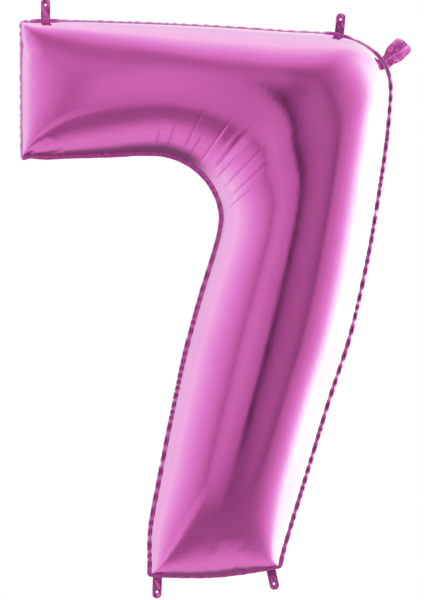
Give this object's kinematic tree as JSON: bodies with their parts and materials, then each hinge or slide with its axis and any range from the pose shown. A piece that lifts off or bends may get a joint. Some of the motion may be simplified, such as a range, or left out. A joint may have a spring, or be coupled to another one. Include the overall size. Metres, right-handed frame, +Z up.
{
  "type": "foil number balloon",
  "caption": "Gas-filled foil balloon in the shape of a figure seven, with hanging tabs at its corners and a self-sealing filling neck.",
  "frame": {"origin": "middle of the hole in the top right tab, in the plane of the seam", "axes": "+X to the right seen from the front, +Y from the front face to the back, +Z up; the figure reads as a seven from -Y"},
  "size_m": [0.6295, 0.231, 0.9588],
  "materials": {
    "foil": "gloss",
    "clear_film": "satin"
  },
  "bodies": {
    "envelope": {"front_panel": "foil", "back_panel": "foil", "valve_front_film": "clear_film", "valve_back_film": "clear_film"},
    "top_left_tab": {"top_left_tab_front_ply": "foil", "top_left_tab_back_ply": "foil"},
    "top_right_tab": {"top_right_tab_front_ply": "foil", "top_right_tab_back_ply": "foil"},
    "bottom_left_tab": {"bottom_left_tab_front_ply": "foil", "bottom_left_tab_back_ply": "foil"},
    "bottom_right_tab": {"bottom_right_tab_front_ply": "foil", "bottom_right_tab_back_ply": "foil"},
    "neck": {"neck_front_ply": "foil", "neck_back_ply": "foil", "valve_inlet_front_film": "clear_film", "valve_inlet_back_film": "clear_film"},
    "valve_flap": {"valve_flap": "clear_film"}
  },
  "joints": [
    {"name": "top_left_tab_fold", "type": "hinge", "parent": "envelope", "child": "top_left_tab", "pos_m": [-0.4723, 0, 0.00092], "axis": [1, 0, 0], "range_deg": [-90, 90], "stiffness_Nm_per_rad": 0.0001},
    {"name": "top_right_tab_fold", "type": "hinge", "parent": "envelope", "child": "top_right_tab", "pos_m": [-0.0023, 0, -0.02188], "axis": [0.9945, 0, -0.1045], "range_deg": [-90, 90], "stiffness_Nm_per_rad": 0.0001},
    {"name": "bottom_left_tab_fold", "type": "hinge", "parent": "envelope", "child": "bottom_left_tab", "pos_m": [-0.2933, 0, -0.89388], "axis": [-0.9994, 0, 0.0349], "range_deg": [-90, 90], "stiffness_Nm_per_rad": 0.0001},
    {"name": "bottom_right_tab_fold", "type": "hinge", "parent": "envelope", "child": "bottom_right_tab", "pos_m": [-0.1113, 0, -0.88168], "axis": [-0.9781, 0, -0.2079], "range_deg": [-90, 90], "stiffness_Nm_per_rad": 0.0001},
    {"name": "neck_fold", "type": "hinge", "parent": "envelope", "child": "neck", "pos_m": [0.0727, 0, -0.06848], "axis": [0.7071, 0, -0.7071], "range_deg": [-100, 100], "stiffness_Nm_per_rad": 0.0004},
    {"name": "valve_flap_lift", "type": "hinge", "parent": "envelope", "child": "valve_flap", "pos_m": [0.0633, 0.0002, -0.07788], "axis": [0.7071, 0, -0.7071], "range_deg": [0, 12], "stiffness_Nm_per_rad": 0.0004}
  ]
}
